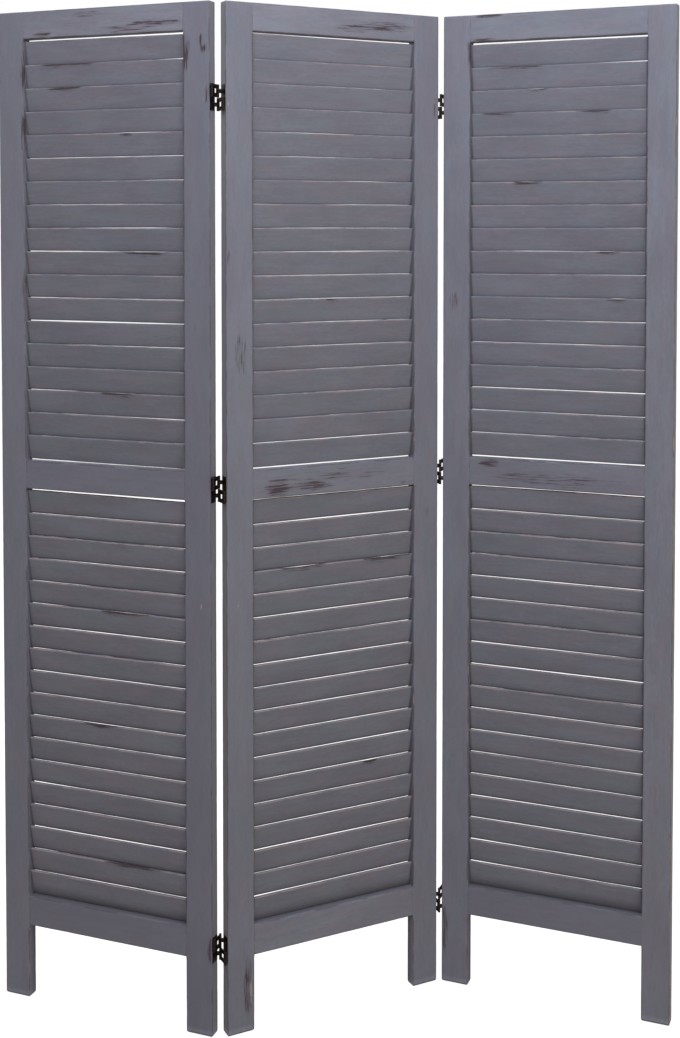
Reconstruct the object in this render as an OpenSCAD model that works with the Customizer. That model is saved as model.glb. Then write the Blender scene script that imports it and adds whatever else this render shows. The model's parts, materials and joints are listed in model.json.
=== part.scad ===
// Folding screen of three louvred panels, joined by hinges that fold both ways.
// Millimetres, +Z up. The front faces -Y. The origin is on the floor, at the middle of the
// plan that the screen covers as it stands in its zigzag.

/* [Panels] */
// Width of one panel
panel_w = 400; // [340:1:480]
// Height of the screen
panel_h = 1700; // [1500:1:2000]
// Thickness of the boards of a frame
board_t = 20; // [18:0.5:26]
// Width of the two upright stiles of a frame
stile_w = 48; // [40:1:64]
// Chamfer that eases the long edges of stiles and rails
board_ease = 0.8; // [0.3:0.1:1.5]

/* [Rails] */
// Height of the legs, from the floor to the bottom rail
leg_h = 128; // [60:1:200]
// Height of the bottom rail
bottom_rail_h = 51; // [40:1:80]
// Height of the lower field of slats, between the bottom rail and the middle rail
lower_field_h = 709; // [600:1:780]
// Height of the middle rail
middle_rail_h = 48; // [36:1:70]
// Height of the top rail
top_rail_h = 46.5; // [36:0.5:70]

/* [Slats] */
// Number of slats in each field
slat_count = 18; // [10:1:19]
// Width of a slat, measured across the board
slat_w = 40; // [30:0.5:44]
// Thickness of a slat
slat_t = 4.5; // [3:0.1:6]
// Lean of a slat, with its top edge to the front, in degrees
slat_lean = 12; // [8:0.5:19]
// Gap between a rail and the slat next to it
slat_end_gap = 3.6; // [1:0.1:8]
// Length of slat that is let into a stile at each end
slat_tenon = 7; // [4:0.5:12]
// Chamfer on the edges of a slat
slat_ease = 0.6; // [0.2:0.1:1]

/* [Dowels] */
// Radius of the dowels that join rails to stiles
dowel_r = 4; // [3:0.5:6]
// Length of a dowel
dowel_len = 36; // [24:1:44]
// Distance between the two dowels of one joint
dowel_pitch = 24; // [16:1:30]

/* [Hinges] */
// Gap between two neighbouring panels when they stand in one line
hinge_gap = 9; // [9:0.1:14]
// Height of one hinge
hinge_h = 43; // [34:1:60]
// Height of the lower hinge's centre above the floor
low_hinge_rise = 145; // [60:1:400]
// Height of the middle hinge's centre above the underside of the middle rail
mid_hinge_rise = 19; // [-40:1:80]
// Distance of the upper hinge's centre below the top of the screen
top_hinge_drop = 155; // [60:1:400]
// Distance of a hinge axis outside the face of the boards
axis_out = 1; // [0.5:0.1:2]
// Outer radius of a hinge knuckle
knuckle_r = 2.2; // [2:0.1:2.8]
// Radius of a hinge pin
pin_r = 1; // [0.7:0.1:1.3]
// Thickness of the plate of a hinge leaf
leaf_t = 1.2; // [0.8:0.1:2]
// Distance of the leaf plate inside the faces of the boards
leaf_inset = 1; // [0.5:0.1:3]
// Thickness of the link plates and of the straps that carry the knuckles
strap_t = 1.4; // [1:0.1:1.6]
// Width of the window between the straps of a link plate
link_window = 10; // [6:0.5:12]

/* [Screws] */
// Radius of a screw's shank
screw_r = 1.4; // [1:0.1:1.8]
// Radius of a screw's countersunk head
screw_head_r = 2.8; // [2.2:0.1:3.4]
// Length of a screw
screw_len = 16; // [10:1:22]
// Distance between the two screws of a leaf
screw_pitch = 22; // [16:1:26]

/* [Stance] */
// Turn of the middle panel from the width of the screen, in degrees
middle_turn = 27.3; // [0:0.1:60]
// Fold between the left panel and the middle panel, 0 for one line, in degrees
left_fold = 48.7; // [0:0.1:170]
// Fold between the right panel and the middle panel, 0 for one line, in degrees
right_fold = 49.5; // [0:0.1:170]

/* [Clearances] */
// Clearance round the end of a slat in its slot
slot_play = 0.15; // [0.05:0.05:0.4]
// Radial clearance of a dowel in its hole, and of a screw in its pilot hole
hole_play = 0.05; // [0.02:0.01:0.2]
// Radial clearance of a pin in its knuckles
pin_play = 0.05; // [0.02:0.01:0.1]
// Clearance along the axis between two knuckles
knuckle_play = 0.2; // [0.1:0.05:0.5]
// Clearance between the upper and the lower link of a hinge
link_play = 0.8; // [0.4:0.1:1.5]
// Clearance round the plate of a leaf in its recess
recess_play = 0.2; // [0.1:0.05:0.5]

/* [Hidden] */

// Colours of the finish
frame_colour = [0.47, 0.47, 0.53];
slat_colour = [0.42, 0.42, 0.47];
dowel_colour = [0.76, 0.62, 0.44];
hinge_colour = [0.16, 0.13, 0.12];
pin_colour = [0.30, 0.28, 0.27];
screw_colour = [0.24, 0.21, 0.19];

// Faces on round parts
round_fn = 32;

// Small overlap that makes a cut run past a face
past = 1;

// Heights of the fields and rails
lower_field_base = leg_h + bottom_rail_h;
middle_rail_base = lower_field_base + lower_field_h;
upper_field_base = middle_rail_base + middle_rail_h;
top_rail_base = panel_h - top_rail_h;
upper_field_h = top_rail_base - upper_field_base;
rail_len = panel_w - 2 * stile_w;

// Slats: what one takes up in height and in depth, and where its lower front edge lies
slat_rise = slat_w * cos(slat_lean) + slat_t * sin(slat_lean);
slat_depth = slat_w * sin(slat_lean) + slat_t * cos(slat_lean);
slat_front = (board_t - slat_depth) / 2;
slat_foot = slat_front + slat_w * sin(slat_lean);
function slat_step(field_h) = (field_h - 2 * slat_end_gap - slat_rise) / (slat_count - 1);

// Dowels: half in the stile and half in the rail, with a little room at the end of each hole
dowel_end_room = 1;
dowel_tip = 1;
dowel_hole_len = dowel_len / 2 + dowel_end_room;

// Hinges: three at each fold, at the same heights
hinge_heights = [low_hinge_rise, middle_rail_base + mid_hinge_rise, panel_h - top_hinge_drop];
knuckle_h = (hinge_h - link_play - 4 * knuckle_play) / 6;
barrel_h = 3 * knuckle_h + 2 * knuckle_play;
axis_gap = board_t + 2 * axis_out;
leaf_w = board_t - 2 * leaf_inset;
strap_root = [-leaf_t / 2, leaf_inset + strap_t];
knuckle_room = 0.35;
pin_bore_r = pin_r + pin_play;

// Screws: a conical head as deep as the leaf plate, a shank and a point
screw_point = 3;
pilot_r = screw_r + hole_play;
pilot_len = screw_len + 1;

// Plan: the hinge axes that stay closed, in the middle panel's coordinates and in the
// coordinates of the panel that turns about them
left_axis = [-hinge_gap / 2, board_t + axis_out];
left_axis_own = [panel_w + hinge_gap / 2, board_t + axis_out];
right_axis = [panel_w + hinge_gap / 2, -axis_out];
right_axis_own = [-hinge_gap / 2, -axis_out];
function turned(p, a) = [p[0] * cos(a) - p[1] * sin(a), p[0] * sin(a) + p[1] * cos(a)];
function left_in_middle(p) = left_axis + turned(p - left_axis_own, -left_fold);
function right_in_middle(p) = right_axis + turned(p - right_axis_own, -right_fold);

// Outline of the plan: the corners of each panel, and the knuckles that stand past them
corners = concat(
    [for (x = [board_ease, panel_w - board_ease], y = [0, board_t]) [x, y]],
    [for (x = [0, panel_w], y = [board_ease, board_t - board_ease]) [x, y]]
);
left_knuckles = [for (y = [-axis_out, board_t + axis_out]) [-hinge_gap / 2, y]];
right_knuckles = [for (y = [-axis_out, board_t + axis_out]) [panel_w + hinge_gap / 2, y]];
corner_points = concat(
    corners,
    [for (p = corners) left_in_middle(p)],
    [for (p = corners) right_in_middle(p)]
);
knuckle_points = concat(
    left_knuckles,
    right_knuckles,
    [for (p = right_knuckles) left_in_middle(p)],
    [for (p = left_knuckles) right_in_middle(p)]
);
plan_discs = concat(
    [for (p = corner_points) [turned(p, middle_turn), 0]],
    [for (p = knuckle_points) [turned(p, middle_turn), knuckle_r]]
);
function plan_middle(i) = (
    min([for (d = plan_discs) d[0][i] - d[1]]) + max([for (d = plan_discs) d[0][i] + d[1]])
) / 2;
plan_centre = [plan_middle(0), plan_middle(1)];

// Placing: a panel's own coordinates run along its width, from its front face back, and up
module in_middle() {
    translate([-plan_centre[0], -plan_centre[1], 0])
        rotate([0, 0, middle_turn])
            children();
}

module in_left() {
    in_middle()
        translate([left_axis[0], left_axis[1], 0])
            rotate([0, 0, -left_fold])
                translate([-left_axis_own[0], -left_axis_own[1], 0])
                    children();
}

module in_right() {
    in_middle()
        translate([right_axis[0], right_axis[1], 0])
            rotate([0, 0, -right_fold])
                translate([-right_axis_own[0], -right_axis_own[1], 0])
                    children();
}

// Turns what is made for a left-hand edge round, for the right-hand edge of a panel
module at_right_edge() {
    translate([panel_w, 0, 0])
        mirror([1, 0, 0])
            children();
}

// Turns a hinge piece upside down and front to back, about the middle of the board
module turned_over() {
    translate([0, board_t, 0])
        rotate([180, 0, 0])
            children();
}

module at_hinges() {
    for (z = hinge_heights)
        translate([0, 0, z])
            children();
}

// Rectangle with chamfered corners
module eased_rectangle(a, b, ease) {
    polygon([
        [ease, 0], [a - ease, 0], [a, ease], [a, b - ease],
        [a - ease, b], [ease, b], [0, b - ease], [0, ease]
    ]);
}

// Board that stands up, from its left edge and front face
module upright_board(width, height) {
    linear_extrude(height)
        eased_rectangle(width, board_t, board_ease);
}

// Board that lies level along X, from its left end, front face and underside
module level_board(length, height) {
    translate([0, board_t, 0])
        rotate([90, 0, 90])
            mirror([1, 0, 0])
                linear_extrude(length)
                    eased_rectangle(board_t, height, board_ease);
}

// One slat or, with play, the room that it needs
module slat_bar(length, play, ease) {
    rotate([slat_lean, 0, 0])
        translate([0, -play, -play])
            rotate([90, 0, 90])
                linear_extrude(length)
                    eased_rectangle(slat_t + 2 * play, slat_w + 2 * play, ease);
}

module at_slats(base, field_h) {
    for (i = [0:slat_count - 1])
        translate([0, slat_foot, base + slat_end_gap + i * slat_step(field_h)])
            children();
}

module slats(base, field_h) {
    color(slat_colour)
        at_slats(base, field_h)
            translate([stile_w - slat_tenon, 0, 0])
                slat_bar(rail_len + 2 * slat_tenon, 0, slat_ease);
}

module slat_slots(base, field_h) {
    at_slats(base, field_h)
        translate([stile_w - slat_tenon - slot_play, 0, 0])
            slat_bar(slat_tenon + slot_play + past, slot_play, slat_ease);
}

// Places for the two dowels at the middle of a rail's height
module at_dowels() {
    rails = [
        [leg_h, bottom_rail_h], [middle_rail_base, middle_rail_h], [top_rail_base, top_rail_h]
    ];
    for (rail = rails, side = [-1, 1])
        translate([stile_w, board_t / 2, rail[0] + rail[1] / 2 + side * dowel_pitch / 2])
            rotate([0, 90, 0])
                children();
}

module dowel_holes() {
    at_dowels()
        translate([0, 0, -dowel_hole_len])
            cylinder(h = 2 * dowel_hole_len, r = dowel_r + hole_play, $fn = round_fn);
}

module dowel() {
    translate([0, 0, -dowel_len / 2]) {
        cylinder(h = dowel_tip, r1 = dowel_r - dowel_tip / 2, r2 = dowel_r, $fn = round_fn);
        translate([0, 0, dowel_tip])
            cylinder(h = dowel_len - 2 * dowel_tip, r = dowel_r, $fn = round_fn);
        translate([0, 0, dowel_len - dowel_tip])
            cylinder(h = dowel_tip, r1 = dowel_r, r2 = dowel_r - dowel_tip / 2, $fn = round_fn);
    }
}

module dowels() {
    color(dowel_colour) {
        at_dowels()
            dowel();
        at_right_edge()
            at_dowels()
                dowel();
    }
}

// Recess in a stile's outer edge for each leaf plate, with the pilot holes of its screws
module hinge_recesses() {
    at_hinges() {
        translate([-past, leaf_inset - recess_play, -hinge_h / 2 - recess_play])
            cube([leaf_t + past, leaf_w + 2 * recess_play, hinge_h + 2 * recess_play]);
        for (side = [-1, 1])
            translate([0, board_t / 2, side * screw_pitch / 2])
                rotate([0, 90, 0])
                    cylinder(h = pilot_len, r = pilot_r, $fn = round_fn);
    }
}

// Stile at a left-hand edge
module stile(hinged) {
    color(frame_colour)
        difference() {
            upright_board(stile_w, panel_h);
            slat_slots(lower_field_base, lower_field_h);
            slat_slots(upper_field_base, upper_field_h);
            dowel_holes();
            if (hinged)
                hinge_recesses();
        }
}

module rail(base, height) {
    color(frame_colour)
        difference() {
            translate([stile_w, 0, base])
                level_board(rail_len, height);
            dowel_holes();
            at_right_edge()
                dowel_holes();
        }
}

// Lower end of a knuckle in the upper half of a hinge, counted from the middle
function knuckle_base(i) = link_play / 2 + i * (knuckle_h + knuckle_play);

// Knuckle in front of the board and the strap that carries it, from a plate at X = 0
module leaf_arm() {
    reach = [hinge_gap / 2, -axis_out] - strap_root;
    translate([0, 0, knuckle_base(1)]) {
        translate([hinge_gap / 2, -axis_out, 0])
            cylinder(h = knuckle_h, r = knuckle_r, $fn = round_fn);
        translate([strap_root[0], strap_root[1], 0])
            rotate([0, 0, atan2(reach[1], reach[0])])
                translate([0, -strap_t / 2, 0])
                    cube([norm(reach), strap_t, knuckle_h]);
    }
}

module pin_bore(y) {
    translate([0, y, -past])
        cylinder(h = barrel_h + link_play + 2 * past, r = pin_bore_r, $fn = round_fn);
}

// Conical seat or head of a screw in the leaf plate, pointing into the board
module screw_cone(play) {
    rotate([0, -90, 0])
        cylinder(h = leaf_t, r1 = screw_head_r + play, r2 = screw_r + play, $fn = round_fn);
}

module at_screws() {
    for (side = [-1, 1])
        translate([0, board_t / 2, side * screw_pitch / 2])
            children();
}

// Leaf for a right-hand edge at X = 0: its knuckles stand in front above, behind below
module leaf() {
    difference() {
        union() {
            translate([-leaf_t, leaf_inset, -hinge_h / 2])
                cube([leaf_t, leaf_w, hinge_h]);
            leaf_arm();
            turned_over()
                leaf_arm();
        }
        translate([hinge_gap / 2, 0, 0])
            pin_bore(-axis_out);
        turned_over()
            translate([hinge_gap / 2, 0, 0])
                pin_bore(-axis_out);
        at_screws()
            screw_cone(hole_play);
    }
}

module screw() {
    screw_cone(0);
    rotate([0, -90, 0]) {
        cylinder(h = screw_len - screw_point, r = screw_r, $fn = round_fn);
        translate([0, 0, screw_len - screw_point])
            cylinder(h = screw_point, r1 = screw_r, r2 = screw_r / 5, $fn = round_fn);
    }
}

// Link in the upper half of a hinge, in the middle of the gap at X = 0: a plate from the
// front axis to the rear axis, with two knuckles at each end and room for the leaf's between,
// and a window that leaves it a strap at each knuckle
module link() {
    difference() {
        union() {
            translate([-strap_t / 2, -axis_out + knuckle_r + knuckle_room, knuckle_base(0)])
                cube([strap_t, axis_gap - 2 * (knuckle_r + knuckle_room), barrel_h]);
            for (i = [0, 2])
                translate([0, -axis_out, knuckle_base(i)]) {
                    translate([-strap_t / 2, 0, 0])
                        cube([strap_t, axis_gap, knuckle_h]);
                    for (y = [0, axis_gap])
                        translate([0, y, 0])
                            cylinder(h = knuckle_h, r = knuckle_r, $fn = round_fn);
                }
        }
        pin_bore(-axis_out);
        pin_bore(board_t + axis_out);
        translate([-strap_t, (board_t - link_window) / 2, knuckle_base(1) - knuckle_play])
            cube([2 * strap_t, link_window, knuckle_h + 2 * knuckle_play]);
    }
}

// The two pins of a link, each through all three knuckles at its axis
module link_pins() {
    for (y = [-axis_out, board_t + axis_out])
        translate([0, y, knuckle_base(0)])
            cylinder(h = barrel_h, r = pin_r, $fn = round_fn);
}

// Turns what is made for a right-hand edge at X = 0 about, for a left-hand edge at X = 0
module at_left_edge() {
    translate([0, board_t, 0])
        rotate([0, 0, 180])
            children();
}

module leaves() {
    color(hinge_colour)
        at_hinges()
            leaf();
}

module leaf_screws() {
    color(screw_colour)
        at_hinges()
            at_screws()
                screw();
}

module upper_links() {
    color(hinge_colour)
        at_hinges()
            link();
}

module lower_links() {
    color(hinge_colour)
        at_hinges()
            turned_over()
                link();
}

module upper_pins() {
    color(pin_colour)
        at_hinges()
            link_pins();
}

module lower_pins() {
    color(pin_colour)
        at_hinges()
            turned_over()
                link_pins();
}

// Middle of the gap beside a panel
module in_right_gap() {
    translate([panel_w + hinge_gap / 2, 0, 0])
        children();
}

module in_left_gap() {
    translate([-hinge_gap / 2, 0, 0])
        children();
}

// Left panel
in_left() stile(false);  // left_panel_outer_stile
in_left() at_right_edge() stile(true);  // left_panel_inner_stile
in_left() rail(top_rail_base, top_rail_h);  // left_panel_top_rail
in_left() rail(middle_rail_base, middle_rail_h);  // left_panel_middle_rail
in_left() rail(leg_h, bottom_rail_h);  // left_panel_bottom_rail
in_left() slats(upper_field_base, upper_field_h);  // left_panel_upper_slats
in_left() slats(lower_field_base, lower_field_h);  // left_panel_lower_slats
in_left() dowels();  // left_panel_dowels

// Middle panel
in_middle() stile(true);  // middle_panel_left_stile
in_middle() at_right_edge() stile(true);  // middle_panel_right_stile
in_middle() rail(top_rail_base, top_rail_h);  // middle_panel_top_rail
in_middle() rail(middle_rail_base, middle_rail_h);  // middle_panel_middle_rail
in_middle() rail(leg_h, bottom_rail_h);  // middle_panel_bottom_rail
in_middle() slats(upper_field_base, upper_field_h);  // middle_panel_upper_slats
in_middle() slats(lower_field_base, lower_field_h);  // middle_panel_lower_slats
in_middle() dowels();  // middle_panel_dowels

// Right panel
in_right() stile(true);  // right_panel_inner_stile
in_right() at_right_edge() stile(false);  // right_panel_outer_stile
in_right() rail(top_rail_base, top_rail_h);  // right_panel_top_rail
in_right() rail(middle_rail_base, middle_rail_h);  // right_panel_middle_rail
in_right() rail(leg_h, bottom_rail_h);  // right_panel_bottom_rail
in_right() slats(upper_field_base, upper_field_h);  // right_panel_upper_slats
in_right() slats(lower_field_base, lower_field_h);  // right_panel_lower_slats
in_right() dowels();  // right_panel_dowels

// Left fold, about the rear axis: the upper links turn with the left panel, and the lower
// links stay in line with the middle panel
in_left() translate([panel_w, 0, 0]) leaves();  // left_hinge_outer_leaves
in_middle() at_left_edge() leaves();  // left_hinge_inner_leaves
in_left() in_right_gap() upper_links();  // left_hinge_upper_links
in_middle() in_left_gap() lower_links();  // left_hinge_lower_links
in_left() in_right_gap() upper_pins();  // left_hinge_upper_pins
in_middle() in_left_gap() lower_pins();  // left_hinge_lower_pins
in_left() translate([panel_w, 0, 0]) leaf_screws();  // left_hinge_outer_screws
in_middle() at_left_edge() leaf_screws();  // left_hinge_inner_screws

// Right fold, about the front axis: the upper links turn with the right panel, and the lower
// links stay in line with the middle panel
in_middle() translate([panel_w, 0, 0]) leaves();  // right_hinge_inner_leaves
in_right() at_left_edge() leaves();  // right_hinge_outer_leaves
in_right() in_left_gap() upper_links();  // right_hinge_upper_links
in_middle() in_right_gap() lower_links();  // right_hinge_lower_links
in_right() in_left_gap() upper_pins();  // right_hinge_upper_pins
in_middle() in_right_gap() lower_pins();  // right_hinge_lower_pins
in_middle() translate([panel_w, 0, 0]) leaf_screws();  // right_hinge_inner_screws
in_right() at_left_edge() leaf_screws();  // right_hinge_outer_screws
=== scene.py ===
"""Folding screen of louvred panels: its worn grey wash, its hinges, and the studio it stands in.

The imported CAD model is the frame. Every board and slat is built again here with eased, slightly
uneven edges, in the place of its CAD node. The hinges keep their CAD nodes.
"""

import json
import math
import random

import bmesh
import bpy
from mathutils import Matrix, Vector


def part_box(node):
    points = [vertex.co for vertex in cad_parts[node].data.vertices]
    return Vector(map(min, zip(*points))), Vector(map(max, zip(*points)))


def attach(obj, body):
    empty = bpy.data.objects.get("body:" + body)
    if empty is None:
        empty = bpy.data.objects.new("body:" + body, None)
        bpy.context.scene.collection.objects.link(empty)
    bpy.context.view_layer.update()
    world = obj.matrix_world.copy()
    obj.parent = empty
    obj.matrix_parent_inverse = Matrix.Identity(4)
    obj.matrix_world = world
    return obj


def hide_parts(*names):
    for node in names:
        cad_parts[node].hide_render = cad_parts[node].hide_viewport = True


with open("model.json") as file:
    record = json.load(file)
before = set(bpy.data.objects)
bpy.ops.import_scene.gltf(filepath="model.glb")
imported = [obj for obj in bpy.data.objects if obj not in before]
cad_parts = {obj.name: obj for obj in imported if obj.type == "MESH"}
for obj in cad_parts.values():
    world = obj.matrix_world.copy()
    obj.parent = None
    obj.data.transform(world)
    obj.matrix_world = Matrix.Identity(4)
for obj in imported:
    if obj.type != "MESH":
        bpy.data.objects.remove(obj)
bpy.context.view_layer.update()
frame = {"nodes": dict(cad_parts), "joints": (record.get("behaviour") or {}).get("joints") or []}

MM = 0.001

# Driving sizes of the screen, the same as in the CAD source
PANEL_W = 400 * MM
BOARD_T = 20 * MM
STILE_W = 48 * MM
HINGE_GAP = 9 * MM
AXIS_OUT = 1 * MM
SLAT_COUNT = 18
SLAT_W = 40 * MM
SLAT_T = 4.5 * MM
SLAT_LEAN = math.radians(12)
SLAT_END_GAP = 3.6 * MM
SLAT_TENON = 7 * MM

# The camera's place and lens, from a fit to the screen's corners in the photograph
EYE = Vector((0.0123, -2.4755, 1.3324))
EYE_PITCH = math.radians(-1.99)
LENS = 50.92
SHIFT_Y = -0.2303


# ---------------------------------------------------------------- where the panels stand

def plan(joint_name):
    """Place of a fold's axis on the floor, and the fold at rest, which is 0 for one line."""
    joint = next(j for j in frame["joints"] if j["name"] == joint_name)
    x, y = joint["pos_m"][:2]
    return Vector((x, y)), math.radians(-joint["range_deg"][0])


def turned(point, angle):
    return Matrix.Rotation(angle, 2) @ Vector(point)


LEFT_AXIS, LEFT_FOLD = plan("left_fold")
RIGHT_AXIS, RIGHT_FOLD = plan("right_fold")
# The same two axes in the middle panel's own plan: along its width, and from its front back
LEFT_AXIS_OWN = Vector((-HINGE_GAP / 2, BOARD_T + AXIS_OUT))
RIGHT_AXIS_OWN = Vector((PANEL_W + HINGE_GAP / 2, -AXIS_OUT))


def direction(v):
    return math.atan2(v[1], v[0])


MIDDLE_TURN = direction(RIGHT_AXIS - LEFT_AXIS) - direction(RIGHT_AXIS_OWN - LEFT_AXIS_OWN)


def placed(axis, axis_own, turn):
    """Matrix from a panel's own coordinates to the frame: its axis lies on the fold's axis."""
    corner = axis - turned(axis_own, turn)
    return Matrix.Translation((corner[0], corner[1], 0)) @ Matrix.Rotation(turn, 4, "Z")


PANELS = {
    "left_panel": placed(LEFT_AXIS, (PANEL_W + HINGE_GAP / 2, BOARD_T + AXIS_OUT),
                         MIDDLE_TURN - LEFT_FOLD),
    "middle_panel": placed(LEFT_AXIS, LEFT_AXIS_OWN, MIDDLE_TURN),
    "right_panel": placed(RIGHT_AXIS, (-HINGE_GAP / 2, -AXIS_OUT), MIDDLE_TURN - RIGHT_FOLD),
}


# ---------------------------------------------------------------- marks seen in the photograph

# Daylight through the joints of each field of slats, in mm at even steps from the joint's left end
# to its right end, and below 0 where the slats overlap. Joint 0 is over the lower rail, joint 18
# is under the upper rail, and "usual" is for all not listed.
DAYLIGHT = {
    "left_panel_upper_slats": {
        "usual": (-0.4, -0.3), 18: (1.6, 2.0, 2.6), 17: (-0.8, -0.6, -0.3, 0.0, 1.0),
        15: (-0.4, 0.0, -0.3, 0.0, -0.2), 14: (-0.4, -0.3, 0.1, 0.5, -0.4), 13: (0.5, 0.6),
        12: (-0.4, -0.2, 0.6), 11: (0.2, 0.4, -0.1), 10: (-0.1, 0.0, 0.5, 0.8, -0.3),
        9: (1.2, 1.0, 0.1, -0.2), 7: (0.6, 0.3, 0.5), 6: (1.4, 2.0, 1.8, 0.8), 5: (-0.5, 0.3, 0.6),
        3: (0.8, -0.2, -0.3), 2: (0.1, 0.2, 0.8), 1: (0.1, -0.2, 0.1), 0: (1.2, 0.5, 0.0)},
    "left_panel_lower_slats": {
        "usual": (0.5, 0.4, 0.5), 18: (1.1, 1.9, 2.7), 16: (0.2, -0.1, 0.3), 15: (0.1, 0.6, 0.8),
        14: (0.6, 0.0, 0.2), 13: (0.6, -0.1, -0.2, 0.1), 12: (0.5, 1.0, 0.9),
        11: (0.6, 0.0, -0.1, 0.7), 10: (0.8, 0.8, 0.7), 5: (1.3, 0.3, 0.7), 3: (0.8, 1.2, 1.0),
        2: (0.2, -0.6, -0.8), 1: (0.1, 0.7, 0.4), 0: (-2.9, -2.9)},
    "middle_panel_upper_slats": {
        "usual": (0.0, 0.5, 0.2), 18: (0.4, 1.3, 1.7), 17: (-0.3, 0.1, -0.4, -0.5),
        16: (-0.3, 0.3, 0.1), 15: (-0.4, 0.0, 0.2, -0.1), 14: (-0.3, 0.5, 0.2, -0.2),
        13: (-0.4, 0.4, 0.2, -0.2), 12: (-0.4, -0.2, 0.4, -0.1), 11: (0.2, -0.1, 0.5, 0.3),
        9: (0.0, 0.6, 0.8, 0.2), 8: (0.3, 0.5, 0.3), 7: (0.2, 0.6, 0.3), 4: (0.0, 0.2, 0.4),
        3: (0.0, 0.1, 0.2, 0.0), 2: (-0.2, 0.0, -0.1), 1: (0.6, 0.9, 0.6), 0: (1.6, 1.6, 1.5)},
    "middle_panel_lower_slats": {
        "usual": (0.6, 1.0, 0.7), 18: (0.1, 0.3), 17: (0.6, 1.9, 1.3), 16: (0.6, 0.4, 0.7),
        15: (-0.3, -0.4, 0.0), 14: (0.4, 0.5), 13: (1.0, 1.1, 0.9), 12: (0.2, 0.2, 0.8),
        11: (1.0, 1.3, 0.9), 7: (0.7, 1.2, 1.3), 5: (0.5, 0.6, 0.4), 3: (1.4, 1.4, 0.9),
        2: (0.3, 0.7), 1: (1.6, 0.7, 0.9), 0: (-2.9, -2.9)},
    "right_panel_upper_slats": {
        "usual": (-0.3, 0.0, 0.1), 18: (2.4, 2.2, 2.4), 17: (-0.5, -0.3, 1.1),
        16: (0.0, -0.2, -0.5), 15: (-0.5, -0.4), 12: (-0.5, -0.3, 0.1), 9: (-0.3, 0.6, 0.2, -0.1),
        8: (-0.2, 0.0, 0.5), 7: (-0.5, -0.3, -0.2), 6: (0.1, 0.2, 0.8), 5: (0.2, 0.5, 0.3),
        3: (0.8, 1.3), 2: (0.5, 0.3, 0.6), 1: (0.7, 0.2, 0.0), 0: (1.8, 1.6)},
    "right_panel_lower_slats": {
        "usual": (0.8, 0.7, 0.5), 18: (0.8, 0.4, 1.1), 16: (0.0, 0.2), 15: (0.3, -0.3, 0.0),
        14: (1.0, 1.1, 0.8), 13: (0.9, 0.5, 0.1), 12: (-0.1, 0.1, 0.0), 11: (1.4, 0.9, 0.1),
        10: (1.1, 1.5, 1.3), 9: (0.3, -0.4, 0.3), 6: (0.7, 0.3, 0.8), 4: (1.1, 1.0),
        3: (0.9, 1.0, 0.4), 2: (1.4, 0.8, 0.5), 1: (1.3, 0.6, 0.5), 0: (-2.9, -2.9)},
}

# Bites out of a slat's upper edge, brown inside: joint, place along the panel, half its length
# and its depth, in mm
BITES = {
    "left_panel_upper_slats": [(17, 135, 58, 0.3), (16, 125, 34, 0.4), (14, 244, 16, 0.4),
                               (9, 275, 52, 0.5), (3, 230, 40, 0.5)],
    "left_panel_lower_slats": [(13, 240, 50, 0.4), (8, 190, 40, 0.3), (2, 250, 60, 0.4)],
    "middle_panel_upper_slats": [(7, 195, 12, 0.4)],
    "middle_panel_lower_slats": [(15, 140, 44, 1.2), (15, 300, 50, 0.5), (6, 266, 16, 0.6)],
    "right_panel_upper_slats": [(17, 132, 58, 0.3), (16, 163, 20, 0.8), (15, 100, 32, 0.3),
                                (15, 265, 34, 0.3), (12, 148, 28, 0.6), (9, 290, 24, 0.4),
                                (7, 305, 18, 0.8)],
}

# Places where the wash is rubbed through on the front of a board: x and z of the middle in the
# panel's own plan, half the length and height of the patch, in mm, and how strong it is
RUBBED = {
    "left_panel_top_rail": [(240, 1662, 62, 6, 0.8), (300, 1669, 58, 7, 1.0),
                            (85, 1660, 22, 6, 0.9), (175, 1690, 34, 6, 0.6),
                            (200, 1678, 150, 20, 0.16)],
    "left_panel_inner_stile": [(356, 1620, 10, 38, 0.9), (384, 1638, 3.5, 12, 1.4),
                               (389, 1624, 7, 4, 1.3), (394, 1550, 2.5, 16, 1.6),
                               (395, 145, 4, 26, 1.1)],
    "left_panel_outer_stile": [(47, 1600, 5, 42, 1.0), (47, 1500, 5, 48, 1.0),
                               (46, 1240, 5, 30, 0.6)],
    "middle_panel_top_rail": [(232, 1669, 44, 8, 0.6), (296, 1676, 62, 11, 0.75)],
    "middle_panel_middle_rail": [(92, 904, 28, 18, 1.1), (155, 903, 50, 12, 0.8),
                                 (329, 893, 9, 5, 0.9), (210, 916, 160, 20, 0.3)],
    "middle_panel_left_stile": [(36, 75, 9, 60, 0.9), (5, 1290, 3, 14, 0.8),
                                (26, 1128, 14, 42, 0.5)],
    "middle_panel_right_stile": [(392, 1545, 5, 24, 0.7), (378, 838, 8, 12, 0.5)],
    "right_panel_top_rail": [(82, 1697, 30, 5, 1.0), (70, 1656, 22, 5, 1.0)],
    "right_panel_inner_stile": [(46, 1630, 4, 32, 1.1), (20, 1205, 12, 22, 0.5),
                                (5, 90, 7, 55, 0.8)],
    "right_panel_middle_rail": [(84, 928, 22, 9, 1.0), (200, 905, 150, 16, 0.42)],
}

# Places where the wash has chipped off to pale bare wood, in the same form
CHIPPED = {
    "left_panel_inner_stile": [(397.5, 1550, 2, 14, 1.2), (389, 1545, 2, 7, 0.8),
                               (382, 714, 2.5, 3, 1.0)],
    "middle_panel_left_stile": [(5, 1534, 2, 12, 0.8), (20, 714, 3, 3, 0.9),
                                (42, 66, 3, 34, 0.6)],
    "middle_panel_right_stile": [(392, 1556, 2, 8, 0.8)],
}

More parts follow.
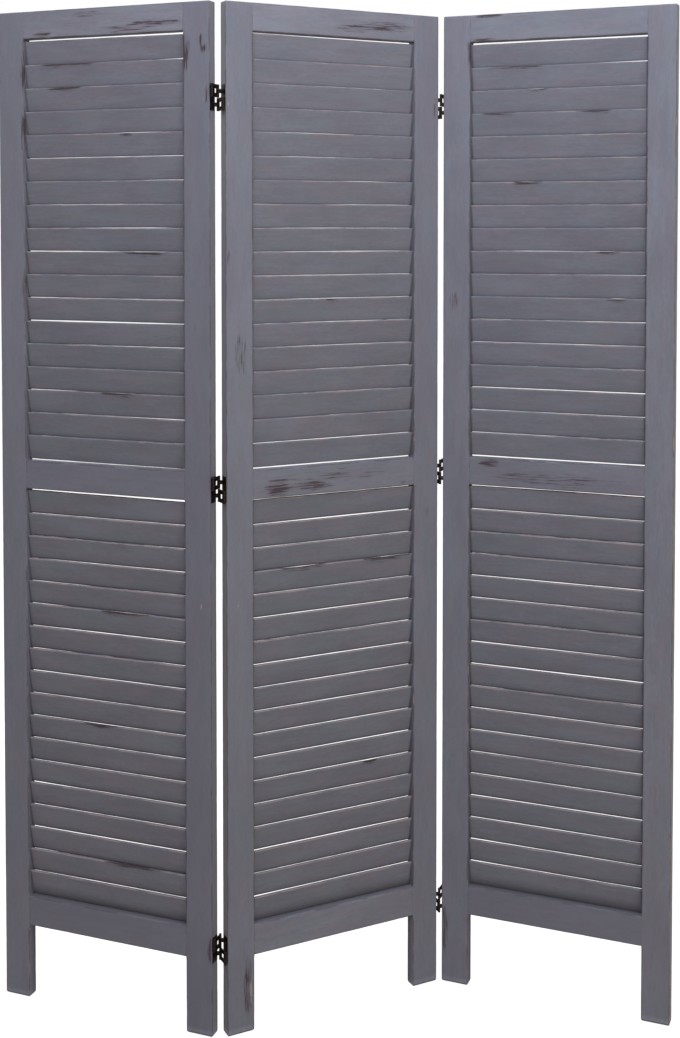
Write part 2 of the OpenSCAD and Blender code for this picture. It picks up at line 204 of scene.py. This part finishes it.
# How dark a board is drawn, from 0 to 1, and 0.5 for all not listed: partly the board's own
# tone and partly painted light, which makes the top rails lighter and most bottom rails darker
SHADES = {
    "left_panel_outer_stile": 0.6, "left_panel_inner_stile": 0.9, "left_panel_top_rail": 0.0,
    "left_panel_middle_rail": 0.9, "left_panel_bottom_rail": 0.9,
    "middle_panel_right_stile": 0.65, "middle_panel_top_rail": 0.1, "middle_panel_middle_rail": 0.4,
    "middle_panel_bottom_rail": 0.1, "right_panel_outer_stile": 0.25, "right_panel_top_rail": 0.2,
    "right_panel_middle_rail": 0.6, "right_panel_bottom_rail": 0.95,
}


# ---------------------------------------------------------------- meshes of boards and slats

UNIT_X, UNIT_Y, UNIT_Z = Vector((1, 0, 0)), Vector((0, 1, 0)), Vector((0, 0, 1))
POINT_VALUES = ("wear", "tone", "rub", "chip", "painted_shade", "side")
ARC_STEPS = 3
WEAR_BAND = 4 * MM  # how far the wear of an edge reaches over a face
BOARD_STEP = 9 * MM  # between two sections of a board
BOARD_EASE = 1.4 * MM
BOARD_RETREAT = 0.3 * MM  # how far wear takes an arris back at most
SNUG_EASE = 0.2 * MM  # where a rail butts against a stile
SNUG_MARGIN = 0.6 * MM  # how far that snug stretch reaches past the rail's edges
ARRIS = 1 * MM  # the strip next to an arris that isn't part of a side face
DARK_AT_BACK = 1.3  # painted shade on a dark side at its back edge
FOOT_SHADE, FOOT_SHADE_FADE = 1.6, 3 * MM  # painted shade at the floor, and the height that takes 1 off it


def wave(rng, lengths):
    """Smooth random function of a place along a board, from 0 to 1."""
    parts = [(math.tau / length, rng.uniform(0, math.tau)) for length in lengths]
    return lambda s: 0.5 + 0.5 * sum(math.sin(s * k + p) for k, p in parts) / len(parts)


def section(width, thick, eases, inset, spans):
    """Points round a section, from its lower left corner: (across, depth, wear, corner).

    The front and the back are each divided into spans between the bands of their edges.
    """
    band_a, band_b = (min(WEAR_BAND, 0.3 * size) for size in (width, thick))
    low, wide, deep = inset, width - inset, thick - inset
    # Each corner's place, and the angle at which its arc starts
    corners = [(low, low, 180), (wide, low, 270), (wide, deep, 0), (low, deep, 90)]
    points = []
    for number, (a, b, start) in enumerate(corners):
        radius = max(eases[number] - inset, 0.02 * MM)
        centre_a = a + radius if a == low else a - radius
        centre_b = b + radius if b == low else b - radius
        arc = []
        for step in range(ARC_STEPS + 1):
            angle = math.radians(start + 90 * step / ARC_STEPS)
            arc.append((centre_a + radius * math.cos(angle),
                        centre_b + radius * math.sin(angle), 1.0, number))
        on_side = (a, b + band_b if b == low else b - band_b, 0.0, number)
        on_face = (a + band_a if a == low else a - band_a, b, 0.0, number)
        if start in (270, 90):
            points += [on_face, *arc, on_side]
        else:
            points += [on_side, *arc, on_face]
            far = wide - band_a if a == low else low + band_a
            for i in range(1, spans):
                points.append((on_face[0] + (far - on_face[0]) * i / spans, b, 0.0, number))
    return points


def stations(length, eases, step, extra=()):
    """Places along a board, each with how far its section is drawn in there.

    The sections stand about a step apart, with more of them at the extra places.
    """
    turns = [[(ease * (1 - math.cos(a)), ease * (1 - math.sin(a)))
              for a in (math.radians(d) for d in (0, 30, 60, 90))] for ease in eases]
    start, end = max(eases[0], WEAR_BAND), length - max(eases[1], WEAR_BAND)
    count = max(2, round((end - start) / step))
    inner = [start + (end - start) * i / count for i in range(count + 1)]
    inner += [s for s in extra if start < s < end and min(abs(s - i) for i in inner) > 0.2 * MM]
    ends = [(length - s, inset) for s, inset in reversed(turns[1])]
    return turns[0] + [(s, 0.0) for s in sorted(inner)] + ends


def new_mesh():
    return {"places": [], "grain": [], "faces": [], **{key: [] for key in POINT_VALUES}}


def loft(mesh, rings):
    """Joins rings of (place, grain, values) with quads and closes both ends."""
    first, count = len(mesh["places"]), len(rings[0])
    for ring in rings:
        for place, grain, values in ring:
            mesh["places"].append(place)
            mesh["grain"].append(grain)
            for key, value in zip(POINT_VALUES, values):
                mesh[key].append(value)
    for i in range(len(rings) - 1):
        for k in range(count):
            a = first + i * count + k
            b = first + i * count + (k + 1) % count
            mesh["faces"].append((a, b, b + count, a + count))
    last = first + (len(rings) - 1) * count
    mesh["faces"].append(tuple(first + k for k in reversed(range(count))))
    mesh["faces"].append(tuple(last + k for k in range(count)))


def patch_value(patches, x, z):
    """How strongly the listed patches rub the wash at a place on a board's front."""
    values = [strength * (1 - ((x - px * MM) / (half_x * MM)) ** 2
                          - ((z - pz * MM) / (half_z * MM)) ** 2)
              for px, pz, half_x, half_z, strength in patches]
    return max(0.0, *values) if values else 0.0


def board(mesh, rng, name, origin, axes, size, end_eases, snug=(), snug_side=None,
          dark_side=None, pale_side=None, paleness=0.0, sharp_ease=0.0, spans=6):
    """Board from its corner at origin: axes and size are along the grain, across and deep.

    end_eases are how far its two ends are eased. snug are the stretches where another board
    butts against snug_side, 0 for the low side and 1 for the high one. dark_side is the one next
    to the slats, which gets painted shade, most at the back. pale_side is the panel's outer one:
    paleness is how much light is painted on it, and its arrises are eased by sharp_ease. spans
    divide the front.
    """
    along, across, depth = axes
    rubbed, chipped = RUBBED.get(name, ()), CHIPPED.get(name, ())
    length, width, thick = size
    offset = Vector((rng.uniform(0, 9), rng.uniform(0, 9), rng.uniform(0, 9)))
    tone = SHADES.get(name, 0.5)
    retreat = [wave(rng, (0.31, 0.127, 0.053, 0.021)) for _ in range(4)]
    side_corners = {None: (), 0: (0, 3), 1: (1, 2)}
    edges = [s + d for pair in snug for s in pair for d in (-SNUG_MARGIN, SNUG_MARGIN)]
    reach = 1.2 * SNUG_MARGIN  # takes in the sections at the margins themselves
    rings = []
    for s, inset in stations(length, end_eases, BOARD_STEP, edges):
        end_wear = max(0.0, 1 - min(s, length - s) / WEAR_BAND)
        is_snug = any(a - reach < s < b + reach for a, b in snug)
        eases = [sharp_ease if corner in side_corners[pale_side] else BOARD_EASE
                 for corner in range(4)]
        if is_snug:
            for corner in side_corners[snug_side]:
                eases[corner] = SNUG_EASE
        ring = []
        for a, b, wear, corner in section(width, thick, eases, inset, spans):
            if is_snug and corner in side_corners[snug_side]:
                wear = 0.0
            back = BOARD_RETREAT * retreat[corner](s) ** 3 * wear
            a += back if a < width / 2 else -back
            b += back if b < thick / 2 else -back
            place = origin + along * s + across * a + depth * b
            in_front = b < thick / 2
            rub = patch_value(rubbed, place.x, place.z) if in_front else 0.0
            chip = patch_value(chipped, place.x, place.z) if in_front else 0.0
            side = 0 if a < ARRIS else 1 if a > width - ARRIS else None
            is_dark = side is not None and side == dark_side and not is_snug
            is_pale = side is not None and side == pale_side and ARRIS < b < thick - ARRIS
            # painted shade: darker towards the back of the side next to the slats, and at the floor
            painted_shade = max(DARK_AT_BACK * b / thick if is_dark else 0.0,
                        FOOT_SHADE - place.z / FOOT_SHADE_FADE)
            # the last value is light painted on the panel's outer side faces
            values = (max(wear, end_wear), tone, rub, chip, painted_shade, paleness if is_pale else 0.0)
            ring.append((place, Vector((s, a, b)) + offset, values))
        rings.append(ring)
    loft(mesh, rings)


SLAT_RISE = SLAT_W * math.cos(SLAT_LEAN) + SLAT_T * math.sin(SLAT_LEAN)
SLAT_DEPTH = SLAT_W * math.sin(SLAT_LEAN) + SLAT_T * math.cos(SLAT_LEAN)
SLAT_FOOT = (BOARD_T - SLAT_DEPTH) / 2 + SLAT_W * math.sin(SLAT_LEAN)
SLAT_STEP = 8 * MM  # between two sections of a slat
SLAT_EASE, SLAT_RETREAT = 0.7 * MM, 0.22 * MM
END_SHADE, END_SHADE_FADE = 1.6, 2.5 * MM  # painted shadow where a slat meets a stile, and the length that takes 1 off it
BITE_BROWN, BITE_REACH = 1.5, 5.5 * MM  # how brown a slat is at a bite, and how far down
LOW_EDGE_WEAR = 0.45


def slat(mesh, rng, base, low_cut, high_cut, bites, shadow, reach, top_wear):
    """Slat whose lower and upper edges are drawn in by functions of the place along it, 0 to 1.

    A negative cut makes the slat wider. bites are taken out of the upper edge, top_wear is how
    worn that edge is all along, and shadow is how much painted shade lies along the lower one,
    as far up as reach.
    """
    start, length = STILE_W - SLAT_TENON, PANEL_W - 2 * (STILE_W - SLAT_TENON)
    offset = Vector((rng.uniform(0, 9), rng.uniform(0, 9), rng.uniform(0, 9)))
    tone = rng.uniform(0, 0.12)
    retreat = [wave(rng, (0.17, 0.061, 0.023)) for _ in range(4)]
    up = UNIT_Z * math.cos(SLAT_LEAN) - UNIT_Y * math.sin(SLAT_LEAN)
    back = UNIT_Y * math.cos(SLAT_LEAN) + UNIT_Z * math.sin(SLAT_LEAN)
    at_stiles = [SLAT_TENON + d * MM for d in (0, 1.5, 2.7, 4)]  # where the painted shadow at the stiles fades
    rings = []
    for s, inset in stations(length, (0.5 * MM, 0.5 * MM), SLAT_STEP,
                             at_stiles + [length - s for s in at_stiles]):
        bite = rub = 0.0
        for middle, half, depth in bites:
            near = max(0.0, 1 - abs(start + s - middle * MM) / (half * MM))
            bite = max(bite, depth * MM * near ** 0.7)
            rub = max(rub, near ** 0.5)
        low, high = low_cut(s / length), high_cut(s / length) + bite
        # painted shadow where the slat's end meets a stile
        from_stile = min(s, length - s) - SLAT_TENON
        end_shade = min(1.0, max(0.0, END_SHADE - from_stile / END_SHADE_FADE))
        ring = []
        for a, b, wear, corner in section(SLAT_W, SLAT_T, [SLAT_EASE] * 4, inset, 4):
            grain = Vector((s, a, b)) + offset
            at_top = a > SLAT_W / 2
            # painted shade: the shadow at the stiles and along the lower edge
            painted_shade = max(end_shade, shadow * max(0.0, 1 - a / reach))
            edge_rub = BITE_BROWN * rub * max(0.0, 1 - (SLAT_W - a) / BITE_REACH)
            a = low + a * (SLAT_W - low - high) / SLAT_W
            a += SLAT_RETREAT * retreat[corner](s) * (-1 if at_top else 1) * wear
            place = Vector((start + s, SLAT_FOOT, base)) + up * a + back * b
            wear *= top_wear * (1 - 0.6 * rub) if at_top else LOW_EDGE_WEAR
            values = (wear, tone, edge_rub, 0.0, painted_shade, 0.0)
            ring.append((place, grain, values))
        rings.append(ring)
    loft(mesh, rings)


def piece(name, mesh, panel, nodes, material):
    """Object from a mesh in a panel's own coordinates, in place of CAD nodes."""
    data = bpy.data.meshes.new(name)
    matrix = PANELS[panel]
    data.from_pydata([matrix @ p for p in mesh["places"]], [], mesh["faces"])
    grain = data.attributes.new("grain", "FLOAT_VECTOR", "POINT")
    grain.data.foreach_set("vector", [c for g in mesh["grain"] for c in g])
    for key in POINT_VALUES:
        data.attributes.new(key, "FLOAT", "POINT").data.foreach_set("value", mesh[key])
    data.polygons.foreach_set("use_smooth", [True] * len(data.polygons))
    shell = bmesh.new()
    shell.from_mesh(data)
    bmesh.ops.recalc_face_normals(shell, faces=shell.faces)
    shell.to_mesh(data)
    shell.free()
    obj = bpy.data.objects.new(name, data)
    bpy.context.scene.collection.objects.link(obj)
    data.materials.append(material)
    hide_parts(*nodes)
    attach(obj, panel)


# ---------------------------------------------------------------- materials

class Shader:
    """A material, with short ways to add and link its nodes."""

    def __init__(self, name):
        self.material = bpy.data.materials.new(name)
        self.material.use_nodes = True
        self.tree = self.material.node_tree
        self.surface = self.tree.nodes["Principled BSDF"]

    def feed(self, socket, value):
        if isinstance(value, bpy.types.NodeSocket):
            self.tree.links.new(value, socket)
        else:
            socket.default_value = value

    def node(self, kind, inputs, **settings):
        node = self.tree.nodes.new("ShaderNode" + kind)
        for key, value in settings.items():
            setattr(node, key, value)
        for key, value in inputs.items():
            self.feed(node.inputs[key], value)
        return node

    def attribute(self, name):
        return self.node("Attribute", {}, attribute_name=name)

    def math(self, operation, a, b=0.0):
        return self.node("Math", {0: a, 1: b}, operation=operation).outputs[0]

    def total(self, *terms):
        """Sum of (value, weight) pairs."""
        parts = [self.math("MULTIPLY", value, weight) for value, weight in terms]
        result = parts[0]
        for part in parts[1:]:
            result = self.math("ADD", result, part)
        return result

    def noise(self, vector, scale, detail=3.0, roughness=0.5, distortion=0.0):
        """Noise whose cells are 1 / scale metres along, across and deep."""
        place = self.node("VectorMath", {0: vector, 1: scale}, operation="MULTIPLY").outputs[0]
        inputs = {"Vector": place, "Scale": 1.0, "Detail": detail, "Roughness": roughness,
                  "Distortion": distortion}
        return self.node("TexNoise", inputs).outputs["Fac"]

    def step(self, value, low, high):
        """0 below low, 1 above high, and smooth between."""
        inputs = {"Value": value, "From Min": low, "From Max": high}
        return self.node("MapRange", inputs, interpolation_type="SMOOTHSTEP").outputs[0]

    def span(self, value, low, high):
        """Spreads a noise's middle values over low to high."""
        inputs = {"Value": value, "From Min": 0.3, "From Max": 0.7, "To Min": low, "To Max": high}
        return self.node("MapRange", inputs).outputs[0]

    def mix(self, amount, a, b):
        node = self.node("MixRGB", {"Fac": amount, "Color1": a, "Color2": b})
        return node.outputs[0]

    def cover(self, amount, weight, colour, under):
        """Lays a colour over what is under it."""
        return self.mix(self.math("MULTIPLY", amount, weight), under, colour)

    def bump(self, height, strength, distance):
        node = self.node("Bump", {"Height": height, "Strength": strength, "Distance": distance})
        self.feed(self.surface.inputs["Normal"], node.outputs[0])

    def finish(self, colour, roughness):
        self.feed(self.surface.inputs["Base Color"], colour)
        self.feed(self.surface.inputs["Roughness"], roughness)
        return self.material


def shade(colour, factor):
    return tuple(c * factor for c in colour) + (1,)


def washed_wood(name, level, bare_start, edge_brown):
    """Grey wash over brown wood: brush marks along the grain, clouds, and wear along the edges.

    level scales the wash's brightness. Bare wood shows on an edge from bare_start on, and
    edge_brown is how far the other edges go brown.
    """
    s = Shader(name)
    grain = s.attribute("grain").outputs["Vector"]
    wear, tone, rub, chip, painted_shade, side = (s.attribute(k).outputs["Fac"] for k in POINT_VALUES)
    brush = s.noise(grain, (16, 150, 150), detail=4, roughness=0.6, distortion=0.5)
    fibre = s.noise(grain, (40, 700, 700), detail=3)
    mottle = s.noise(grain, (110, 240, 240), detail=3, roughness=0.6)
    clouds = s.noise(grain, (7, 21, 21), detail=3, roughness=0.6)
    hues = s.noise(grain, (9, 30, 34), detail=2)
    scuffs = s.noise(grain, (24, 400, 400), detail=5, roughness=0.65)
    breaks = s.noise(grain, (24, 70, 70), detail=3, roughness=0.6)

    blue = s.mix(s.step(hues, 0.38, 0.62), shade((0.211, 0.200, 0.225), level),
                 shade((0.201, 0.206, 0.232), level))
    wash = s.total((brush, 0.24), (fibre, 0.20), (mottle, 0.20), (clouds, 0.36))
    colour = s.mix(s.step(wash, 0.40, 0.62), s.mix(0.75, (0.05, 0.045, 0.055, 1), blue), blue)
    plum = s.step(s.noise(grain, (16, 60, 60), detail=3), 0.52, 0.68)
    colour = s.cover(plum, 0.42, shade((0.205, 0.172, 0.190), level), colour)
    green = s.step(s.noise(grain, (14, 50, 60), detail=3), 0.52, 0.68)
    colour = s.cover(green, 0.42, shade((0.180, 0.198, 0.205), level), colour)
    # tone: the board's own tone, and for the boards in SHADES painted light as well
    colour = s.cover(tone, 0.50, shade((0.12, 0.115, 0.14), level), colour)
    pores = s.step(s.total((fibre, 0.6), (scuffs, 0.4)), 0.58, 0.70)
    colour = s.cover(pores, 0.28, (0.060, 0.050, 0.060, 1), colour)

    worn_edge = s.step(s.total((wear, 0.50), (breaks, 0.9)), 0.82, 1.02)
    colour = s.cover(worn_edge, edge_brown, (0.070, 0.055, 0.055, 1), colour)
    patch = s.step(s.total((rub, 0.30), (scuffs, 0.55), (brush, 0.40)), 0.46, 0.80)
    colour = s.cover(s.math("MULTIPLY", patch, s.step(rub, 0.0, 0.4)), 0.50,
                     (0.125, 0.080, 0.086, 1), colour)
    streak = s.step(s.total((rub, 0.15), (scuffs, 1.0)), 0.56, 0.68)
    colour = s.cover(s.math("MULTIPLY", streak, s.step(rub, 0.05, 0.4)), 0.85,
                     (0.040, 0.024, 0.028, 1), colour)
    # painted light: the outer side faces are made paler
    colour = s.cover(side, 0.60, (0.365, 0.350, 0.320, 1), colour)
    bare = s.step(s.total((wear, 0.50), (breaks, 1.0)), bare_start, bare_start + 0.12)
    colour = s.cover(bare, 0.70, (0.42, 0.315, 0.285, 1), colour)
    # painted shade: darker round the slats, at the slat ends, along the slats' lower edges and at
    # the feet
    colour = s.cover(painted_shade, 0.55, (0.048, 0.042, 0.044, 1), colour)
    chips = s.step(s.total((chip, 0.5), (breaks, 0.4), (mottle, 0.4)), 0.55, 0.75)
    colour = s.cover(s.math("MULTIPLY", chips, s.step(chip, 0.0, 0.2)), 0.75,
                     (0.44, 0.33, 0.30, 1), colour)

    s.bump(s.total((wash, 0.7), (fibre, 0.3)), 0.3, 0.5 * MM)
    return s.finish(colour, s.span(s.total((brush, 0.5), (fibre, 0.5)), 0.50, 0.70))


def dark_metal(name, colour, worn_colour, roughness):
    """Metal with a dark finish, thin in places."""
    s = Shader(name)
    place = s.node("TexCoord", {}).outputs["Object"]
    grain = s.noise(place, (900, 900, 900), detail=4)
    blotch = s.noise(place, (160, 160, 160), detail=3)
    edge = s.node("Bevel", {"Radius": 0.5 * MM}, samples=4).outputs[0]
    normal = s.node("NewGeometry", {}).outputs["Normal"]
    bend = s.node("VectorMath", {0: edge, 1: normal}, operation="DOT_PRODUCT").outputs["Value"]
    rim = s.math("MULTIPLY", s.math("SUBTRACT", 1.0, bend), 4.0)
    thin = s.step(s.math("ADD", rim, blotch), 0.75, 1.1)
    s.surface.inputs["Metallic"].default_value = 0.85
    s.bump(grain, 0.15, 0.1 * MM)
    return s.finish(s.mix(thin, colour, worn_colour), s.span(blotch, roughness, roughness + 0.2))


def raw_wood(name):
    """Bare turned wood of the dowels."""
    s = Shader(name)
    place = s.node("TexCoord", {}).outputs["Object"]
    rings = s.noise(place, (60, 60, 420), detail=4)
    s.bump(rings, 0.2, 0.2 * MM)
    colour = s.mix(s.span(rings, 0.0, 1.0), (0.36, 0.23, 0.12, 1), (0.60, 0.43, 0.26, 1))
    return s.finish(colour, s.span(rings, 0.6, 0.8))


FRAME_WOOD = washed_wood("frame_wood", 1.175, 1.12, 0.55)
SLAT_WOOD = washed_wood("slat_wood", 1.11, 0.96, 0.25)
CAD_FINISH = {
    "leaves": dark_metal("hinge_metal", (0.038, 0.026, 0.023, 1), (0.16, 0.12, 0.10, 1), 0.32),
    "pins": dark_metal("pin_steel", (0.08, 0.07, 0.065, 1), (0.30, 0.28, 0.26, 1), 0.28),
    "screws": dark_metal("screw_steel", (0.06, 0.05, 0.045, 1), (0.26, 0.23, 0.20, 1), 0.30),
    "dowels": raw_wood("dowel_wood"),
}
CAD_FINISH["links"] = CAD_FINISH["leaves"]


# ---------------------------------------------------------------- the screen

STILES = {
    "left_panel": ("outer_stile", "inner_stile"),
    "middle_panel": ("left_stile", "right_stile"),
    "right_panel": ("inner_stile", "outer_stile"),
}
RAILS = ("bottom_rail", "middle_rail", "top_rail")
HINGED = ("left_panel_inner_stile", "middle_panel_left_stile", "middle_panel_right_stile",
          "right_panel_inner_stile")
# how much light is painted on a stile's outer side face, and how far its arrises there are eased
HINGED_SIDE = {"paleness": 0.5, "sharp_ease": 0.8 * MM}
FREE_SIDE = {"paleness": 1.0, "sharp_ease": 1.0 * MM}
LEAF_PROUD = 0.1 * MM  # a hinged edge lies this far behind the faces of the leaves let into it
FOOT_EASE, TOP_EASE = 4.5 * MM, 1.8 * MM


def add_stile(name, panel, at_right, rng):
    low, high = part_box(name)
    mesh = new_mesh()
    drawn_in = LEAF_PROUD if name in HINGED else 0.0
    left = PANEL_W - STILE_W if at_right else drawn_in
    width = STILE_W - drawn_in
    rails = [tuple(corner.z - low.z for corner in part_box(f"{panel}_{rail}")) for rail in RAILS]
    inner_side = 0 if at_right else 1
    # the inner side face next to the slats gets painted shade, the outer one painted light
    board(mesh, rng, name, Vector((left, 0, low.z)), (UNIT_Z, UNIT_X, UNIT_Y),
          (high.z - low.z, width, BOARD_T), (FOOT_EASE, TOP_EASE), snug=rails,
          snug_side=inner_side, dark_side=inner_side, pale_side=1 - inner_side, spans=20,
          **(HINGED_SIDE if name in HINGED else FREE_SIDE))
    piece(name + "_board", mesh, panel, [name], FRAME_WOOD)


def add_rail(name, panel, rng):
    low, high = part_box(name)
    mesh = new_mesh()
    # the bottom rail's top face under the slats gets painted shade
    board(mesh, rng, name, Vector((STILE_W, 0, low.z)), (UNIT_X, UNIT_Z, UNIT_Y),
          (PANEL_W - 2 * STILE_W, high.z - low.z, BOARD_T), (SNUG_EASE, SNUG_EASE),
          dark_side=1 if name.endswith("bottom_rail") else None, spans=10)
    piece(name + "_board", mesh, panel, [name], FRAME_WOOD)


def corner_loss(ease, from_face):
    """What the easing of a corner takes off it, seen at an angle from one of its faces."""
    return ease * (math.cos(from_face) + math.sin(from_face) - 1)


def joint_cut(joint, step, z, wanted, eye):
    """How far the edges at a joint are drawn in for the daylight wanted there, in metres.

    The straight slats of the CAD overlap a little when seen level, and a view from above or
    below opens or closes their joints. eye is the camera's place in the panel's own plan. Where
    the slats overlap already, they aren't made any wider.
    """
    fall = (eye.z - z) / (BOARD_T / 2 - eye.y)
    slope = math.atan(fall)
    slat_loss = (corner_loss(SLAT_EASE, math.pi / 2 - slope - SLAT_LEAN) / math.cos(slope)
                 + SLAT_RETREAT / 2)
    rail_loss = corner_loss(BOARD_EASE, abs(slope))
    top_depth = SLAT_FOOT - SLAT_W * math.sin(SLAT_LEAN) + SLAT_T * math.cos(SLAT_LEAN)
    if joint == 0:
        own = SLAT_END_GAP - (BOARD_T - SLAT_FOOT) * fall + slat_loss + rail_loss
    elif joint == SLAT_COUNT:
        past_top = top_depth if fall > 0 else BOARD_T - top_depth
        own = SLAT_END_GAP - abs(fall) * past_top + slat_loss + rail_loss
    else:
        own = step - SLAT_RISE + (SLAT_FOOT - top_depth) * fall + 2 * slat_loss
    cut = wanted * MM - own
    return max(cut, 0.0) if own <= 0 else cut


def value_at(values, u):
    """Value at a place from 0 to 1, smoothly between values at even steps."""
    place = min(max(u, 0.0), 0.9999) * (len(values) - 1)
    i = int(place)
    t = place - i
    return values[i] + (values[i + 1] - values[i]) * t * t * (3 - 2 * t)


def cut_along(joint, step, z, wanted, ripple, eye):
    """Function of a place along a slat, 0 to 1: how far its edge at a joint is drawn in there."""
    share = 1.0 if joint in (0, SLAT_COUNT) else 0.5

    def cut(u):
        daylight = value_at(wanted, u) + 0.3 * (ripple(u * PANEL_W) - 0.5)
        return share * joint_cut(joint, step, z, daylight, eye)

    return cut


def add_slats(name, panel, low, high, rng):
    """One field of slats between two rails, whose faces are at low and high."""
    step = (high - low - 2 * SLAT_END_GAP - SLAT_RISE) / (SLAT_COUNT - 1)
    eye = PANELS[panel].inverted() @ EYE
    is_lower = "lower" in name
    shadow, top_wear = (0.8, 1.15) if is_lower else (0.0, 1.0)
    cuts = []
    for joint in range(SLAT_COUNT + 1):
        z = low + SLAT_END_GAP + joint * step
        wanted = DAYLIGHT[name].get(joint, DAYLIGHT[name]["usual"])
        cuts.append(cut_along(joint, step, z, wanted, wave(rng, (0.23, 0.11, 0.05)), eye))
    mesh = new_mesh()
    for i in range(SLAT_COUNT):
        bites = [bite[1:] for bite in BITES.get(name, ()) if bite[0] == i + 1]
        # the lowest slat over the bottom rail gets deeper and taller painted shade
        darkness, reach = (1.2, 17 * MM) if is_lower and i == 0 else (shadow, 3 * MM)
        slat(mesh, rng, low + SLAT_END_GAP + i * step, cuts[i], cuts[i + 1], bites, darkness,
             reach, top_wear)
    piece(name + "_boards", mesh, panel, [name], SLAT_WOOD)


for number, panel in enumerate(PANELS):
    rng = random.Random(100 + number)
    for at_right, stile in enumerate(STILES[panel]):
        add_stile(f"{panel}_{stile}", panel, bool(at_right), rng)
    for rail in RAILS:
        add_rail(f"{panel}_{rail}", panel, rng)
    bottom, middle, top = (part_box(f"{panel}_{rail}") for rail in RAILS)
    add_slats(f"{panel}_lower_slats", panel, bottom[1].z, middle[0].z, rng)
    add_slats(f"{panel}_upper_slats", panel, middle[1].z, top[0].z, rng)

for name, obj in frame["nodes"].items():
    kind = name.split("_")[-1]
    if kind in CAD_FINISH:
        obj.data.materials.clear()
        obj.data.materials.append(CAD_FINISH[kind])
        bevel = obj.modifiers.new("eased", "BEVEL")
        bevel.width = 0.15 * MM
        bevel.segments = 2
        bevel.limit_method = "ANGLE"


# ---------------------------------------------------------------- studio

def soft_light(name, place, target, size, power, colour):
    data = bpy.data.lights.new(name, "AREA")
    data.shape = "RECTANGLE"
    data.size, data.size_y = size
    data.energy = power
    data.color = colour
    obj = bpy.data.objects.new(name, data)
    obj.location = place
    obj.rotation_euler = (Vector(target) - Vector(place)).to_track_quat("-Z", "Y").to_euler()
    obj.visible_camera = False
    bpy.context.scene.collection.objects.link(obj)


def seen_as(shader_tree, shown, lit, output):
    """Surface that the camera sees as one emission, and the light sees as another shader."""
    nodes, links = shader_tree.nodes, shader_tree.links
    path, mix = nodes.new("ShaderNodeLightPath"), nodes.new("ShaderNodeMixShader")
    links.new(path.outputs["Is Camera Ray"], mix.inputs[0])
    links.new(lit.outputs[0], mix.inputs[1])
    links.new(shown.outputs[0], mix.inputs[2])
    links.new(mix.outputs[0], output.inputs["Surface"])


def make_floor():
    bpy.ops.mesh.primitive_plane_add(size=30)
    floor = bpy.context.object
    floor.name = "floor"
    material = bpy.data.materials.new("pale_floor")
    material.use_nodes = True
    nodes = material.node_tree.nodes
    output = nodes["Material Output"]
    lit = nodes["Principled BSDF"]
    lit.inputs["Base Color"].default_value = (0.46, 0.44, 0.43, 1)
    lit.inputs["Roughness"].default_value = 0.9
    glow = nodes.new("ShaderNodeEmission")
    glow.inputs["Strength"].default_value = 0.85
    shown = nodes.new("ShaderNodeAddShader")
    material.node_tree.links.new(lit.outputs[0], shown.inputs[0])
    material.node_tree.links.new(glow.outputs[0], shown.inputs[1])
    seen_as(material.node_tree, shown, lit, output)
    floor.data.materials.append(material)


def make_backdrop():
    """White all round for the camera, and a soft even light for the screen."""
    world = bpy.data.worlds.new("studio")
    bpy.context.scene.world = world
    world.use_nodes = True
    nodes = world.node_tree.nodes
    lit = nodes["Background"]
    lit.inputs["Color"].default_value = (1.0, 0.95, 0.95, 1)
    lit.inputs["Strength"].default_value = 0.42
    shown = nodes.new("ShaderNodeBackground")
    shown.inputs["Color"].default_value = (1, 1, 1, 1)
    shown.inputs["Strength"].default_value = 1.0
    seen_as(world.node_tree, shown, lit, nodes["World Output"])


def make_camera():
    """The photograph's place and angle of view."""
    data = bpy.data.cameras.new("camera")
    data.lens = LENS
    data.sensor_width = 36
    data.shift_y = SHIFT_Y
    camera = bpy.data.objects.new("camera", data)
    camera.location = EYE
    camera.rotation_euler = (math.radians(90) + EYE_PITCH, 0, 0)
    bpy.context.scene.collection.objects.link(camera)
    bpy.context.scene.camera = camera


make_floor()
make_backdrop()
make_camera()
soft_light("key", (0.0, -1.25, 2.8), (0, 0, 1.0), (1.8, 1.0), 38, (0.75, 0.83, 1.0))
soft_light("side", (2.4, -3.0, 0.9), (0, 0, 0.8), (1.4, 1.4), 20, (1.0, 0.96, 0.86))
soft_light("back", (-1.3, 2.6, 2.3), (0, 0, 0.9), (1.8, 1.4), 26, (0.95, 0.97, 1.0))
bpy.context.scene.view_settings.view_transform = "Standard"
